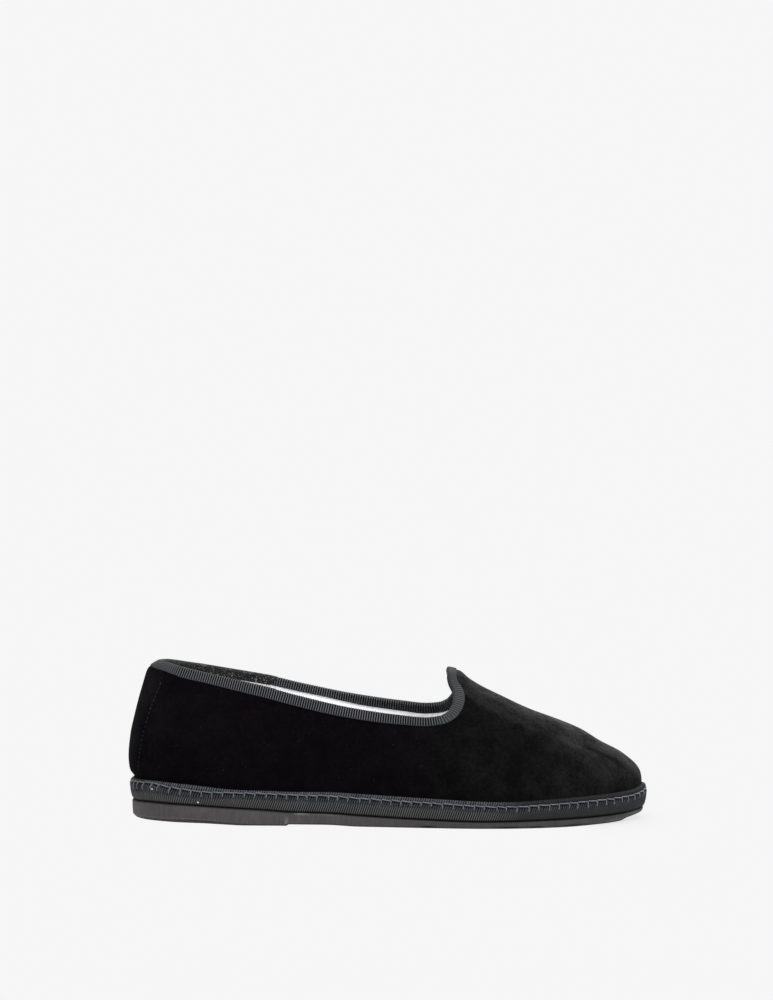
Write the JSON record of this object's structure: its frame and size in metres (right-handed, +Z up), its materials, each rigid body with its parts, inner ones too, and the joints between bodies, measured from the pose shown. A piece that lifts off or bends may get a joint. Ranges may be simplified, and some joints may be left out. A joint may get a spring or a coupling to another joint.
{
  "type": "velvet slipper shoe",
  "caption": "Low slip-on shoe with a velvet upper, ribbon-bound collar peaked at the instep, ribbon-wrapped sole edge and thin rubber sole.",
  "frame": {"origin": "on the floor under the middle of the shoe's box", "axes": "+X to the toe, +Y to the inner side of the foot, +Z up"},
  "size_m": [0.259, 0.0926, 0.0797],
  "materials": {
    "outsole": "matt moulded rubber",
    "insole": "plain white cotton",
    "upper": "black cotton velvet",
    "sole_band": "black ribbed ribbon",
    "collar_binding": "black ribbed ribbon"
  },
  "bodies": {
    "root": {"outsole": "outsole", "insole": "insole", "upper": "upper", "sole_band": "sole_band", "collar_binding": "collar_binding"}
  },
  "joints": []
}
